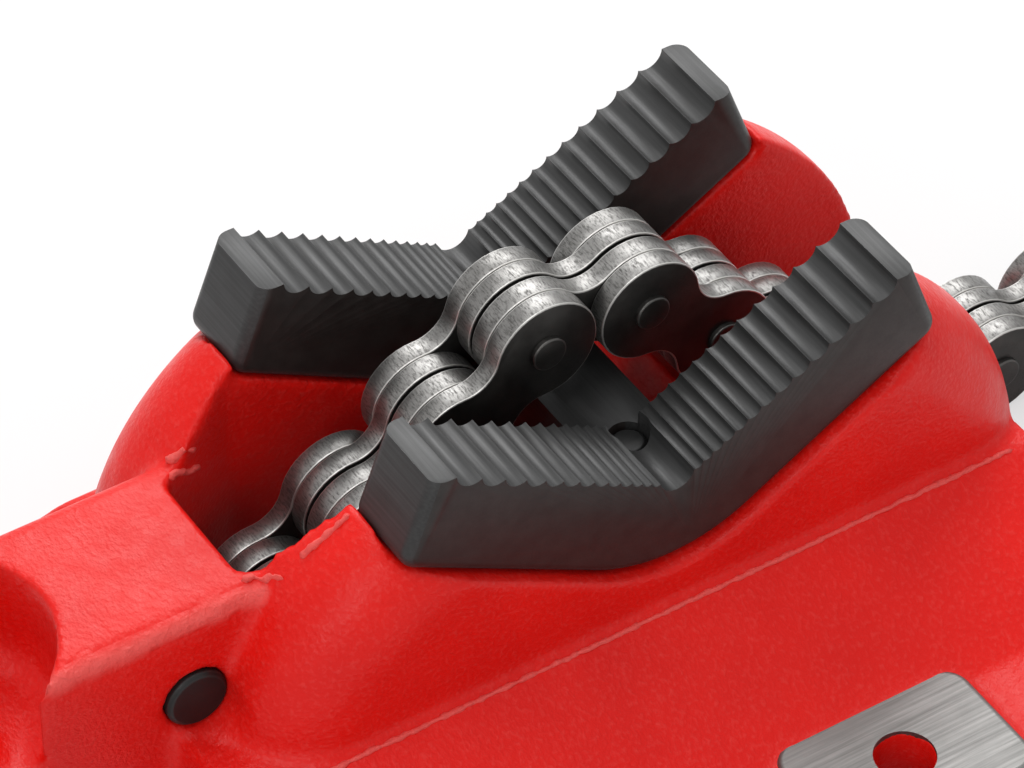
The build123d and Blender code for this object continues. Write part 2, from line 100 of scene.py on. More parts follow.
# %% Helpers for node graphs
class Graph:
    """A material's node graph with a Principled shader at its end."""

    def __init__(self, name):
        self.material = bpy.data.materials.new(name)
        self.material.use_nodes = True
        self.tree = self.material.node_tree
        self.shader = self.tree.nodes["Principled BSDF"]
        self.place = self.node("ShaderNodeTexCoord").outputs["Object"]

    def node(self, kind, **settings):
        made = self.tree.nodes.new(kind)
        for key, value in settings.items():
            setattr(made, key, value)
        return made

    def wire(self, source, target):
        self.tree.links.new(source, target)

    def set(self, values):
        """Sets sockets of the shader to plain numbers or colours."""
        for socket, value in values.items():
            self.shader.inputs[socket].default_value = value

    def stretched(self, scale):
        """Object coordinates, stretched to draw streaks or fine lines."""
        mapping = self.node("ShaderNodeMapping")
        mapping.inputs["Scale"].default_value = scale
        self.wire(self.place, mapping.inputs["Vector"])
        return mapping.outputs["Vector"]

    def noise(self, size, detail=3.0, roughness=0.5, place=None):
        """Noise whose blotches are about size metres wide."""
        made = self.node("ShaderNodeTexNoise")
        made.inputs["Scale"].default_value = 1 / size
        made.inputs["Detail"].default_value = detail
        made.inputs["Roughness"].default_value = roughness
        self.wire(place or self.place, made.inputs["Vector"])
        return made.outputs["Fac"]

    def ramp(self, value, *stops):
        """Colours or greys along a value; each stop is a place and a colour."""
        made = self.node("ShaderNodeValToRGB")
        band = made.color_ramp
        while len(band.elements) < len(stops):
            band.elements.new(0.5)
        for element, (at, colour) in zip(band.elements, stops):
            element.position = at
            grey = (colour,) * 3 if isinstance(colour, float) else colour
            element.color = (*grey, 1.0)
        self.wire(value, made.inputs["Fac"])
        return made.outputs["Color"]

    def mix(self, factor, first, second):
        """A colour between two, each a socket or a plain colour."""
        made = self.node("ShaderNodeMix", data_type="RGBA")
        for socket, value in ((made.inputs["Factor"], factor), (made.inputs["A"], first),
                              (made.inputs["B"], second)):
            if isinstance(value, bpy.types.NodeSocket):
                self.wire(value, socket)
            else:
                socket.default_value = (*value, 1.0) if isinstance(value, tuple) else value
        return made.outputs["Result"]

    def math(self, operation, first, second=0.0):
        made = self.node("ShaderNodeMath", operation=operation)
        for socket, value in zip(made.inputs, (first, second)):
            if isinstance(value, bpy.types.NodeSocket):
                self.wire(value, socket)
            else:
                socket.default_value = value
        return made.outputs["Value"]

    def bump(self, height, strength, distance, below=None):
        """Bends the shading by a height, over an earlier bump if one is given."""
        made = self.node("ShaderNodeBump")
        made.inputs["Strength"].default_value = strength
        made.inputs["Distance"].default_value = distance
        self.wire(height, made.inputs["Height"])
        if below:
            self.wire(below, made.inputs["Normal"])
        return made.outputs["Normal"]

    def attribute(self, name):
        return self.node("ShaderNodeAttribute", attribute_name=name).outputs["Fac"]

    def finish(self, colour=None, roughness=None, normal=None):
        for socket, value in (("Base Color", colour), ("Roughness", roughness),
                              ("Normal", normal)):
            if value is not None:
                self.wire(value, self.shader.inputs[socket])
        return self.material


# %% [markdown]
# The casting is sprayed with red enamel straight over sand cast iron. The
# paint rounds the grains off but still follows them, so the surface has a
# fine pebble and a slow wave under a smooth film. Displacing the mesh would
# take millions of faces for grains this small, so bump gives both, at their
# real sizes. The peaks of the pebble are painted paler, a painted highlight
# of the light that they catch. The attribute called parting marks the seam of
# the mould, where the sand breaks away and leaves a coarse, lumpy line; its
# points and the beads of flash are painted paler too, a painted highlight
# along the ridge.

# %% Red enamel
def make_enamel():
    graph = Graph("red_enamel")
    graph.set({"Specular IOR Level": 0.22})
    parting = graph.attribute("parting")
    shade = graph.noise(0.03, detail=4.0)
    paint = graph.ramp(shade, (0.3, (0.70, 0.0070, 0.0045)), (0.7, (0.80, 0.0100, 0.0060)))
    grain = graph.noise(0.0010, detail=3.0, roughness=0.55,
                        place=graph.stretched((1.0, 0.7, 1.0)))
    # Painted highlight: pebble peaks and the parting seam are painted paler, towards pink, in place of the light
    # they catch.
    peak_highlight = graph.ramp(grain, (0.50, 0.0), (0.75, 0.12))
    pale = graph.math("MAXIMUM", peak_highlight, graph.math("MULTIPLY", parting, 0.50))
    colour = graph.mix(pale, paint, (0.93, 0.19, 0.17))
    roughness = graph.ramp(graph.noise(0.004), (0.35, 0.30), (0.65, 0.42))
    wave = graph.bump(graph.noise(0.010, detail=2.0), 0.30, 0.0012)
    pits = graph.bump(graph.ramp(graph.noise(0.0045, detail=2.0), (0.27, 0.0), (0.32, 1.0)),
                      0.10, 0.0003, wave)
    pebble = graph.bump(grain, 0.55, 0.0004, pits)
    lumps = graph.math("MULTIPLY", graph.noise(0.0019, detail=5.0, roughness=0.65), parting)
    return graph.finish(colour, roughness, graph.bump(lumps, 0.65, 0.0014, pebble))


# %% [markdown]
# The bolt pads are ground flat after painting, which leaves bare metal with
# long fine scratches. An image of scratches would need a file and would repeat.
# Noise stretched along the grinding direction draws them at any size, and the
# same noise varies the roughness.

# %% Ground pad
def make_ground():
    graph = Graph("ground_pad")
    graph.set({"Metallic": 1.0})
    lines = graph.noise(0.0006, detail=4.0, roughness=0.7,
                        place=graph.stretched((0.02, 1.0, 1.0)))
    clouds = graph.noise(0.012)
    tone = graph.math("ADD", graph.math("MULTIPLY", lines, 0.7),
                      graph.math("MULTIPLY", clouds, 0.3))
    colour = graph.ramp(tone, (0.3, (0.14, 0.14, 0.135)), (0.65, (0.22, 0.217, 0.21)))
    roughness = graph.ramp(lines, (0.3, 0.54), (0.7, 0.44))
    return graph.finish(colour, roughness, graph.bump(lines, 0.15, 0.00005))


# %% [markdown]
# The jaw is machined steel with black oxide. Oxide is thin, so it is dark and
# dull on the faces and wears through to bright metal where edges knock
# against pipe. The mesh carries that as an attribute called edge, which the
# bevels set, and noise breaks the bright line up into nicks. The upright
# sides are left as forged, browner and rougher, and the attribute side
# marks them.

# %% Black oxide
def make_oxide():
    graph = Graph("black_oxide")
    graph.set({"Metallic": 0.0, "Specular IOR Level": 0.36})
    worn = graph.attribute("edge")
    nicks = graph.ramp(graph.noise(0.0035, detail=4.0, roughness=0.7), (0.52, 0.0), (0.60, 1.0))
    faint = graph.math("MULTIPLY", worn, 0.16)
    bare = graph.math("MAXIMUM", graph.math("MULTIPLY", worn, nicks), faint)
    film = graph.noise(0.012, detail=4.0)
    dark = graph.ramp(film, (0.3, (0.0170, 0.0168, 0.0165)), (0.7, (0.0260, 0.0262, 0.0262)))
    cutter = graph.noise(0.0006, detail=3.0, place=graph.stretched((1.0, 0.02, 1.0)))
    lined = graph.mix(graph.ramp(cutter, (0.40, 0.0), (0.72, 0.22)), dark, (0.075, 0.075, 0.076))
    scale = graph.noise(0.004, detail=5.0, roughness=0.65)
    forged = graph.ramp(scale, (0.35, (0.0150, 0.0115, 0.0105)), (0.65, (0.0240, 0.0195, 0.0180)))
    face = graph.mix(graph.attribute("side"), lined, forged)
    colour = graph.mix(bare, face, (0.42, 0.41, 0.40))
    roughness = graph.ramp(cutter, (0.3, 0.47), (0.7, 0.34))
    fine = graph.bump(cutter, 0.10, 0.00005)
    return graph.finish(colour, roughness, graph.bump(graph.noise(0.0014), 0.10, 0.00012, fine))


# %% [markdown]
# Chain plates are punched from hardened strip and tumbled. Their rims are
# scraped bright and mottled by dark dashes across the strip, while the flat
# faces keep a dark heat-treated skin. The attribute rim marks the outline of
# each plate and edge its rounded border. Painting by hand could do the same,
# but attributes set while the plate is built fit all twenty links at once.

# %% Chain steel
def make_chain_steel():
    graph = Graph("chain_steel")
    graph.set({"Metallic": 0.85})
    rim = graph.attribute("rim")
    edge = graph.attribute("edge")
    across = graph.stretched((1.0, 0.24, 1.0))
    dashes = graph.ramp(graph.noise(0.00040, detail=4.0, roughness=0.75, place=across),
                        (0.36, 0.0), (0.54, 1.0))
    clouds = graph.ramp(graph.noise(0.006, detail=3.0), (0.35, 0.50), (0.65, 1.0))
    bare = graph.mix(graph.math("MULTIPLY", dashes, clouds), (0.080, 0.077, 0.073),
                     (0.270, 0.265, 0.256))
    skin = graph.ramp(graph.noise(0.006, detail=5.0), (0.3, (0.030, 0.0285, 0.027)),
                      (0.7, (0.056, 0.053, 0.050)))
    body = graph.mix(rim, skin, bare)
    colour = graph.mix(graph.math("MULTIPLY", edge, 0.75), body, (0.52, 0.51, 0.49))
    roughness = graph.ramp(dashes, (0.2, 0.52), (0.8, 0.34))
    dents = graph.bump(graph.noise(0.0016, detail=2.0), 0.22, 0.00012)
    return graph.finish(colour, roughness, graph.bump(dashes, 0.14, 0.00005, dents))


# %% [markdown]
# Turned parts share one graph with other numbers: dark for the pins, bright
# for the screw, the bar and the nut. The noise changes fastest along y, so it
# reads as turning marks on the pins and the bar, which lie that way, and as
# faint streaks on the leaning screw. Soft clouds keep the steel from looking
# like new chrome. Where an edge is rubbed, dark steel turns three times paler
# and bright steel turns pale grey.

# %% Turned steel
DARK_STEEL = 0.1
RUBBED_GAIN = 3
RUBBED_GREY = 0.6


def make_turned(name, dark, light, rough, metallic=1.0, worn=0.5, gloss=0.5):
    graph = Graph(name)
    graph.set({"Metallic": metallic, "Specular IOR Level": gloss})
    clouds = graph.noise(0.008, detail=4.0)
    rings = graph.noise(0.0006, detail=2.0, place=graph.stretched((0.15, 1.0, 0.15)))
    rubbed = (RUBBED_GAIN * light if light < DARK_STEEL else RUBBED_GREY,) * 3
    colour = graph.mix(graph.math("MULTIPLY", graph.attribute("edge"), worn),
                       graph.ramp(clouds, (0.3, (dark,) * 3), (0.7, (light,) * 3)), rubbed)
    roughness = graph.ramp(rings, (0.3, rough + 0.08), (0.7, rough - 0.06))
    return graph.finish(colour, roughness, graph.bump(rings, 0.12, 0.00005))


FINISHES = {
    "red_enamel": make_enamel(),
    "bare_pad": make_ground(),
    "black_oxide": make_oxide(),
    "chain_steel": make_chain_steel(),
    "pin_black": make_turned("pin_black", 0.007, 0.013, 0.42, metallic=0.0, worn=0.25, gloss=0.3),
    "forged_steel": make_turned("forged_steel", 0.05, 0.09, 0.50),
    "machined_steel": make_turned("machined_steel", 0.30, 0.42, 0.30),
    "nut_steel": make_turned("nut_steel", 0.24, 0.34, 0.36),
}
print("finishes", ", ".join(FINISHES))

# %% [markdown]
# ## The casting
# Sand castings have no sharp corners: every edge is rounded by the pattern
# and softened again by paint. A bevel modifier would struggle with so many
# odd edges. Remeshing the whole shell to small voxels and smoothing it rounds
# all of them alike. The helpers come first: one makes a piece that rides on a
# body, one copies a construction mesh and one applies modifiers.


# %% Helpers for meshes
def mesh_object(name, bm, material, body, replaces=()):
    """Turns a bmesh into a piece that rides on a body."""
    mesh = bpy.data.meshes.new(name)
    bm.to_mesh(mesh)
    bm.free()
    mesh.materials.append(material)
    piece = bpy.data.objects.new(name, mesh)
    scene.collection.objects.link(piece)
    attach(piece, body)
    if replaces:
        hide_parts(*replaces)
    return piece


def node_bmesh(node):
    """A copy of a CAD node's mesh with its loose triangles joined up."""
    bm = bmesh.new()
    bm.from_mesh(frame["nodes"][node].data)
    bmesh.ops.remove_doubles(bm, verts=bm.verts, dist=0.002 * MM)
    return bm


def apply_modifiers(piece):
    """Swaps a piece's mesh for the one its modifiers make."""
    shaped = bpy.data.meshes.new_from_object(
        piece.evaluated_get(bpy.context.evaluated_depsgraph_get()))
    piece.modifiers.clear()
    piece.data = shaped
    return shaped


# %% Cast skin
VOXEL = 1.3 * MM
SOFTEN_FACTOR = 0.5
SOFTEN_ROUNDS = 5

casting = mesh_object("cast_body", node_bmesh("body_casting"), FINISHES["red_enamel"],
                      "root", ["body_casting"])
remesh = casting.modifiers.new("voxels", "REMESH")
remesh.mode = "VOXEL"
remesh.voxel_size = VOXEL
remesh.use_smooth_shade = True
soften = casting.modifiers.new("soften", "SMOOTH")
soften.factor = SOFTEN_FACTOR
soften.iterations = SOFTEN_ROUNDS
skin = apply_modifiers(casting)
print("cast skin", len(skin.polygons), "faces of", VOXEL / MM, "mm")

# %% [markdown]
# Where the arm runs into the cheeks, the pattern maker filled the corner with
# a wide fillet. Hollow places are found by looking at each point's
# neighbours: they lie above it where the surface is hollow. Only those places,
# grown by a few rings, are smoothed many times more, and this opens a fillet
# there while the outer edges keep their shape.

# %% Wide fillets
HOLLOW_SHARE = 0.10
HOLLOW_RINGS = 5
FILLET_ROUNDS = 45


def hollow_verts(bm):
    """Points whose neighbours rise above them, by a share of the voxel."""
    found = set()
    for vert in bm.verts:
        around = [edge.other_vert(vert).co for edge in vert.link_edges]
        middle = sum(around, Vector()) / len(around)
        if (middle - vert.co).dot(vert.normal) > HOLLOW_SHARE * VOXEL:
            found.add(vert)
    return found


bm = bmesh.new()
bm.from_mesh(skin)
hollow = hollow_verts(bm)
for _ in range(HOLLOW_RINGS):
    hollow |= {edge.other_vert(vert) for vert in hollow for edge in vert.link_edges}
for _ in range(FILLET_ROUNDS):
    bmesh.ops.smooth_vert(bm, verts=list(hollow), factor=0.5, use_axis_x=True,
                          use_axis_y=True, use_axis_z=True)
bm.to_mesh(skin)
bm.free()
print("hollow points", len(hollow))

# %% [markdown]
# Small voxels make far more faces than the smooth faces of the base need. A
# coarser remesh would blur the slot and the bolt holes. The Decimate modifier
# keeps faces where the surface bends and merges them where it is flat.

# %% Thin the skin
SKIN_TRIANGLES = 190_000

triangles = sum(len(face.vertices) - 2 for face in skin.polygons)
thin = casting.modifiers.new("thin", "DECIMATE")
thin.ratio = min(1.0, SKIN_TRIANGLES / triangles)
skin = apply_modifiers(casting)
skin.polygons.foreach_set("use_smooth", [True] * len(skin.polygons))
print("thinned", triangles, "->", len(skin.polygons))

# %% [markdown]
# The mould's seam runs along the front top edge of the arm. Points near that
# line get the parting attribute, which fades out to both sides, and are
# pushed in and out a little by noise so that the edge is uneven in outline.

# %% Seam of the mould
ARM_FRONT_Y = -7.0 * MM
ARM_TOP_Z = 62.4 * MM
SEAM_Y = ARM_FRONT_Y + 1.2 * MM
SEAM_Z = ARM_TOP_Z - 1.4 * MM
SEAM_START = Vector((-134.0 * MM, SEAM_Y, SEAM_Z))
SEAM_END = Vector((-56.0 * MM, SEAM_Y, SEAM_Z))
SEAM_WIDTH = 3.6 * MM
SEAM_WANDER = 6 * MM
SEAM_LUMP = 1.9 * MM
SEAM_HEIGHT = 0.70 * MM


def along_seam(point):
    """How strongly a point belongs to the seam, from 0 to 1."""
    line = SEAM_END - SEAM_START
    share = max(0.0, min(1.0, (point - SEAM_START).dot(line) / line.length_squared))
    reach = SEAM_WIDTH * (0.75 + 0.5 * noise.noise(point / SEAM_WANDER))
    return max(0.0, 1.0 - (point - SEAM_START - share * line).length / reach) ** 0.5


skin.attributes.new("parting", "FLOAT", "POINT")
bm = bmesh.new()
bm.from_mesh(skin)
layer = bm.verts.layers.float["parting"]
for vert in bm.verts:
    belongs = along_seam(vert.co)
    if belongs > 0:
        # The enamel bumps these points into lumps and paints them paler, a painted highlight along the seam.
        vert[layer] = belongs
        vert.co += vert.normal * SEAM_HEIGHT * belongs * noise.noise(vert.co / SEAM_LUMP)
bm.to_mesh(skin)
skin_tree = BVHTree.FromBMesh(bm)
bm.free()
print("seam from x", round(SEAM_START.x / MM), "to", round(SEAM_END.x / MM), "mm")

# %% [markdown]
# Flash is the thin lip of iron that squeezes out where two parts of the mould
# meet, here at the corners of the chain slot and on the crest of the front
# cheek. Each lip is a bead drawn along a few places of the photograph. A ray
# from the camera finds where each place lies on the skin, so the bead sits on
# the casting from any side. The places must keep off the open slot, or the
# bead would span it and catch the chain as that is drawn in. A finer
# bead runs along the crease between the front cheek and the slope below it,
# and its places are the points of the skin nearest to a straight line.

# %% Places of the beads
FLASH_PIXELS = {
    "slot_rear_upper": ([(166, 463), (174, 458), (184, 450), (196, 447)], 0.9 * MM),
    "slot_rear_lower": ([(169, 479), (178, 473), (190, 470), (200, 466)], 0.8 * MM),
    "slot_front": ([(241, 581), (252, 577), (262, 580), (271, 577), (284, 579)], 0.8 * MM),
    "cheek_crest": ([(300, 558), (312, 548), (325, 537), (338, 525), (350, 514)], 0.7 * MM),
}
CREASE_YZ = (-32.0 * MM, 33.0 * MM)
CREASE_FROM = -78 * MM
CREASE_TO = 97 * MM
CREASE_STEPS = 35
CREASE_RADIUS = 0.55 * MM


def on_skin(pixel):
    """The place on the cast skin that the camera sees at a pixel."""
    place = skin_tree.ray_cast(camera.location, sight_line(pixel))[0]
    if place is None:
        raise ValueError(f"pixel {pixel} misses the casting")
    return place


lips = {name: ([on_skin(pixel) for pixel in pixels], radius)
        for name, (pixels, radius) in FLASH_PIXELS.items()}
crease_start = Vector((CREASE_FROM, *CREASE_YZ))
crease_end = Vector((CREASE_TO, *CREASE_YZ))
crease = [crease_start.lerp(crease_end, step / CREASE_STEPS) for step in range(CREASE_STEPS + 1)]
lips["crease"] = ([skin_tree.find_nearest(place)[0] for place in crease], CREASE_RADIUS)
for name, (places, radius) in lips.items():
    print(name, "from", tuple(round(value / MM, 1) for value in places[0]), "mm")

# %% [markdown]
# A bead could be a curve with a round bevel, but a curve's bevel is even all
# along. Here a ring of points is extruded step by step along the route, and
# noise swells or shrinks each ring, so the lip is as lumpy as broken sand
# leaves it. Both ends are pinched shut.

# %% Beads of flash
BEAD_SIDES = 8
BEAD_STEP = 0.7 * MM
BEAD_LUMP = 1.6 * MM
BEAD_SWELL = 0.9
BEAD_LEAST = 0.3


def bead(places, radius):
    """A lumpy tube through some places, pinched shut at both ends."""
    route = [places[0]]
    for start, end in zip(places, places[1:]):
        steps = max(1, round((end - start).length / BEAD_STEP))
        route += [start.lerp(end, step / steps) for step in range(1, steps + 1)]
    bm = bmesh.new()
    pale = bm.verts.layers.float.new("parting")
    ring = bmesh.ops.create_circle(bm, segments=BEAD_SIDES, radius=radius)["verts"]
    first = list(ring)
    turn = Vector((0, 0, 1)).rotation_difference(route[1] - route[0]).to_matrix()
    bmesh.ops.rotate(bm, verts=ring, cent=Vector(), matrix=turn)
    bmesh.ops.translate(bm, verts=ring, vec=route[0])
    for start, end in zip(route, route[1:]):
        edges = [e for e in bm.edges if all(v in ring for v in e.verts)]
        made = bmesh.ops.extrude_edge_only(bm, edges=edges)["geom"]
        ring = [v for v in made if isinstance(v, bmesh.types.BMVert)]
        bmesh.ops.translate(bm, verts=ring, vec=end - start)
        for vert in ring:
            size = max(BEAD_LEAST, 1.0 + BEAD_SWELL * noise.noise(vert.co / BEAD_LUMP))
            vert.co = end + (vert.co - end).normalized() * radius * size
    for loop, place in ((first, route[0]), (ring, route[-1])):
        bmesh.ops.pointmerge(bm, verts=loop, merge_co=place)
    bmesh.ops.recalc_face_normals(bm, faces=bm.faces)
    for face in bm.faces:
        face.smooth = True
    # Every point of a bead gets parting at full strength: the enamel bumps it and paints it paler, a painted
    # highlight along the lip.
    for vert in bm.verts:
        vert[pale] = 1.0
    return bm


for name, (places, radius) in lips.items():
    lip = mesh_object("flash_" + name, bead(places, radius), FINISHES["red_enamel"],
                      "root")
    print(lip.name, len(lip.data.polygons), "faces")

# %% [markdown]
# Each bolt pad is bare on top. A second material on the cast skin would fray
# along the remeshed faces, so a plate of bare metal caps the painted pad and
# stands a tenth of a millimetre proud of it. A boolean is the plainest way to
# punch the hole through a rounded plate. The pattern of the bolts comes from
# the record, and the hole is a touch wider than the casting's, so that no
# thin ring stands in it. The front pads are larger. The record has no slot
# for ground iron.

# %% Bare tops of the pads
mounts = {mount["name"]: mount["dims"] for mount in frame["record"]["mounts"]}
bolts = mounts["bench_bolts"]
BOLT_SPACING = (bolts["spacing_x_mm"] * MM, bolts["spacing_y_mm"] * MM)
HOLE_CLEARANCE = 0.1
BOLT_HOLE_RADIUS = (bolts["hole_r_mm"] + HOLE_CLEARANCE) * MM
PAD_TOP = 18.3 * MM
PAD_SKIN = 2.6 * MM
PAD_PROUD = 0.12 * MM
PAD_CORNER = 6 * MM
PAD_ROUNDING = 1.4 * MM
PAD_CORNER_STEPS = 8
PAD_ROUNDING_STEPS = 3
PAD_FLAT = 0.99
PAD_SIZES = {-1: (47 * MM, 32 * MM), 1: (30 * MM, 24 * MM)}
BOLT_HOLE_SIDES = 48


def rounded_plate(size, middle):
    """A plate with round corners and a rounded top edge."""
    bm = bmesh.new()
    bmesh.ops.create_cube(bm, size=1.0)
    bmesh.ops.scale(bm, verts=bm.verts, vec=(*size, PAD_SKIN))
    upright = [e for e in bm.edges if abs(e.verts[0].co.z - e.verts[1].co.z) > MM]
    bmesh.ops.bevel(bm, geom=upright, offset=PAD_CORNER, offset_type="OFFSET",
                    segments=PAD_CORNER_STEPS, profile=0.5, affect="EDGES", material=-1)
    rim = [e for e in bm.edges if all(v.co.z > 0 for v in e.verts)]
    bmesh.ops.bevel(bm, geom=rim, offset=PAD_ROUNDING, offset_type="OFFSET",
                    segments=PAD_ROUNDING_STEPS, profile=0.5, affect="EDGES", material=-1)
    bmesh.ops.translate(bm, verts=bm.verts, vec=middle)
    for face in bm.faces:
        face.smooth = face.normal.z < PAD_FLAT
    return bm


def drill_tool(middle):
    """A cylinder for a boolean, as long as twice the pad's height."""
    bm = bmesh.new()
    bmesh.ops.create_cone(bm, cap_ends=True, segments=BOLT_HOLE_SIDES, radius1=BOLT_HOLE_RADIUS,
                          radius2=BOLT_HOLE_RADIUS, depth=2 * PAD_TOP)
    bmesh.ops.translate(bm, verts=bm.verts, vec=middle)
    drill = bpy.data.objects.new("drill", bpy.data.meshes.new("drill"))
    bm.to_mesh(drill.data)
    bm.free()
    scene.collection.objects.link(drill)
    return drill


for side, size in PAD_SIZES.items():
    for end in (-1, 1):
        bolt = Vector((end * BOLT_SPACING[0] / 2, side * BOLT_SPACING[1] / 2, 0))
        grown = [length + 2 * PAD_PROUD for length in size]
        middle = bolt + Vector((0, 0, PAD_TOP + PAD_PROUD - PAD_SKIN / 2))
        name = f"pad_top_{'front' if side < 0 else 'rear'}_{'left' if end < 0 else 'right'}"
        plate = mesh_object(name, rounded_plate(grown, middle), FINISHES["bare_pad"],
                            "root")
        drill = drill_tool(middle)
        hole = plate.modifiers.new("hole", "BOOLEAN")
        hole.object = drill
        hole.solver = "EXACT"
        apply_modifiers(plate)
        bpy.data.objects.remove(drill)
        print(name, len(plate.data.polygons))

# %% [markdown]
# ## Dressed steel pieces
# A machined piece keeps the construction's shape and gets a narrow bevel on
# each sharp edge. The bevel catches the light as real edges do, and the
# attribute called edge tells the finish where the metal is rubbed bright. It
# is kept on faces, not on points, because a point is shared with the large
# flat face beside it and would spread the wear all over.


# %% Marks and sharp edges
SHADE_ANGLE = radians(30)


def add_marks(bm):
    """Gives a bmesh its face attributes, before any face is picked out."""
    for name in ("edge", "rim", "side"):
        bm.faces.layers.float.new(name)


def mark(bm, name, faces, amount=1.0):
    """Sets a face attribute on some faces."""
    layer = bm.faces.layers.float[name]
    for face in faces:
        face[layer] = amount


def sharp_edges(bm, angle):
    return [e for e in bm.edges if e.is_manifold and e.calc_face_angle(0.0) > angle]


def smooth_but_sharp(bm):
    """Smooth shading that still breaks at real corners."""
    for face in bm.faces:
        face.smooth = True
    for edge in sharp_edges(bm, SHADE_ANGLE):
        edge.smooth = False


def body_of(node):
    """The name of the body that a construction node moves with."""
    bodies = frame["record"]["behaviour"]["bodies"]
    return next(body for body, nodes in bodies.items() if node in nodes)


# %% [markdown]
# The construction's meshes are made of triangles. A bevel works best on whole
# flat faces, so triangles in one plane are dissolved into one face first, and
# then only edges that turn by a real angle are bevelled. Each piece has its
# own width of bevel: a forging is rounder than a turned pin.

# %% Bevelled copies
FLAT_ANGLE = radians(0.5)
BEVEL_ANGLE = radians(28)
BEVEL_STEPS = 2
SIDE_LEAN = 0.9


def dressed(node, finish, bevel):
    """A bevelled, smooth-shaded copy of a CAD node that replaces it."""
    bm = node_bmesh(node)
    add_marks(bm)
    bmesh.ops.dissolve_limit(bm, angle_limit=FLAT_ANGLE, verts=bm.verts, edges=bm.edges)
    made = bmesh.ops.bevel(bm, geom=sharp_edges(bm, BEVEL_ANGLE), offset=bevel,
                           offset_type="OFFSET", segments=BEVEL_STEPS, profile=0.5,
                           affect="EDGES", material=-1, clamp_overlap=True)
    mark(bm, "edge", made["faces"])
    mark(bm, "side", [f for f in bm.faces if abs(f.normal.y) > SIDE_LEAN])
    smooth_but_sharp(bm)
    return mesh_object(node + "_look", bm, FINISHES[finish], body_of(node), [node])


DRESSED = {
    "vee_jaw": ("black_oxide", 0.16 * MM),
    "jaw_pins": ("pin_black", 0.2 * MM),
    "crank_pin": ("pin_black", 0.25 * MM),
    "crank_pin_ring": ("pin_black", 0.1 * MM),
    "bell_crank": ("forged_steel", 0.8 * MM),
    "draw_screw": ("machined_steel", 0.4 * MM),
    "thrust_washer": ("machined_steel", 0.3 * MM),
    "barrel_nut": ("nut_steel", 0.3 * MM),
    "handle_bar": ("machined_steel", 0.3 * MM),
    "bar_cap_front": ("pin_black", 0.2 * MM),
    "bar_cap_rear": ("pin_black", 0.2 * MM),
    "chain_anchor_pin": ("chain_steel", 0.3 * MM),
}
for node, (finish, bevel) in DRESSED.items():
    piece = dressed(node, finish, bevel)
    print(piece.name, len(piece.data.polygons))

# %% [markdown]
# ## The leaf chain
# A leaf chain is only plates and pins. Inner links carry two plates side by
# side in the middle, and outer links carry one plate on each side with the
# pins riveted through. Two cylinders joined by a box would show corners at
# the waist. So the outline of a plate is drawn as with compasses: one point
# is spun round four centres in turn, and the tangent arcs close. The sizes
# repeat the construction's, so each new link fills the old one's place.

# %% One plate
PITCH = 25.4 * MM
PLATE_RADIUS = 12.05 * MM
PLATE_WAIST = 7.4 * MM
PLATE_THICKNESS = 4.8 * MM
INNER_NEAR = 0.45 * MM
OUTER_NEAR = 5.37 * MM
PIN_RADIUS = 4.0 * MM
PIN_END = 11.37 * MM
PLATE_BEVEL = 0.32 * MM
PIN_BEVEL = 0.40 * MM
PIN_WEAR = 0.12
PIN_SIDES = 40
END_STEPS = 28
WAIST_STEPS = 10
CORNER_ANGLE = radians(60)

half = PITCH / 2
waist_radius = (half ** 2 + PLATE_WAIST ** 2 - PLATE_RADIUS ** 2) / (
    2 * (PLATE_RADIUS - PLATE_WAIST))
waist_height = PLATE_WAIST + waist_radius
lean = atan2(waist_height, half)


def plate_bmesh(near):
    """A plate along x, whose nearer face lies at y = near."""
    bm = bmesh.new()
    add_marks(bm)
    tangent = Vector((half - PLATE_RADIUS * cos(lean), near, PLATE_RADIUS * sin(lean)))
    tip = bmesh.ops.create_vert(bm, co=tangent)["vert"][0]
    arcs = ((Vector((half, near, 0)), 2 * (pi - lean), END_STEPS),
            (Vector((0, near, -waist_height)), -(pi - 2 * lean), WAIST_STEPS),
            (Vector((-half, near, 0)), 2 * (pi - lean), END_STEPS),
            (Vector((0, near, waist_height)), -(pi - 2 * lean), WAIST_STEPS))
    for centre, angle, steps in arcs:
        drawn = bmesh.ops.spin(bm, geom=[tip], cent=centre, axis=(0, 1, 0), angle=angle,
                               steps=steps, dvec=(0, 0, 0))
        tip = next(v for v in drawn["geom_last"] if isinstance(v, bmesh.types.BMVert))
    bmesh.ops.remove_doubles(bm, verts=bm.verts, dist=0.01 * MM)
    face = bmesh.ops.contextual_create(bm, geom=list(bm.edges))["faces"]
    made = bmesh.ops.extrude_face_region(bm, geom=face)["geom"]
    bmesh.ops.translate(bm, verts=[v for v in made if isinstance(v, bmesh.types.BMVert)],
                        vec=(0, PLATE_THICKNESS, 0))
    bmesh.ops.recalc_face_normals(bm, faces=bm.faces)
    mark(bm, "rim", [f for f in bm.faces if abs(f.normal.y) < 0.5])
    border = bmesh.ops.bevel(bm, geom=sharp_edges(bm, CORNER_ANGLE), offset=PLATE_BEVEL,
                             offset_type="OFFSET", segments=2, profile=0.5, affect="EDGES",
                             material=-1)
    mark(bm, "edge", border["faces"])
    return bm


def pin_bmesh(x):
    """A link pin across the chain, with its riveted ends rounded."""
    bm = bmesh.new()
    add_marks(bm)
    bmesh.ops.create_cone(bm, cap_ends=True, segments=PIN_SIDES, radius1=PIN_RADIUS,
                          radius2=PIN_RADIUS, depth=2 * PIN_END)
    bmesh.ops.rotate(bm, verts=bm.verts, cent=Vector(), matrix=Matrix.Rotation(pi / 2, 3, "X"))
    border = bmesh.ops.bevel(bm, geom=sharp_edges(bm, CORNER_ANGLE), offset=PIN_BEVEL,
                             offset_type="OFFSET", segments=3, profile=0.5, affect="EDGES",
                             material=-1)
    mark(bm, "edge", border["faces"], PIN_WEAR)
    bmesh.ops.translate(bm, verts=bm.verts, vec=(x, 0, 0))
    return bm


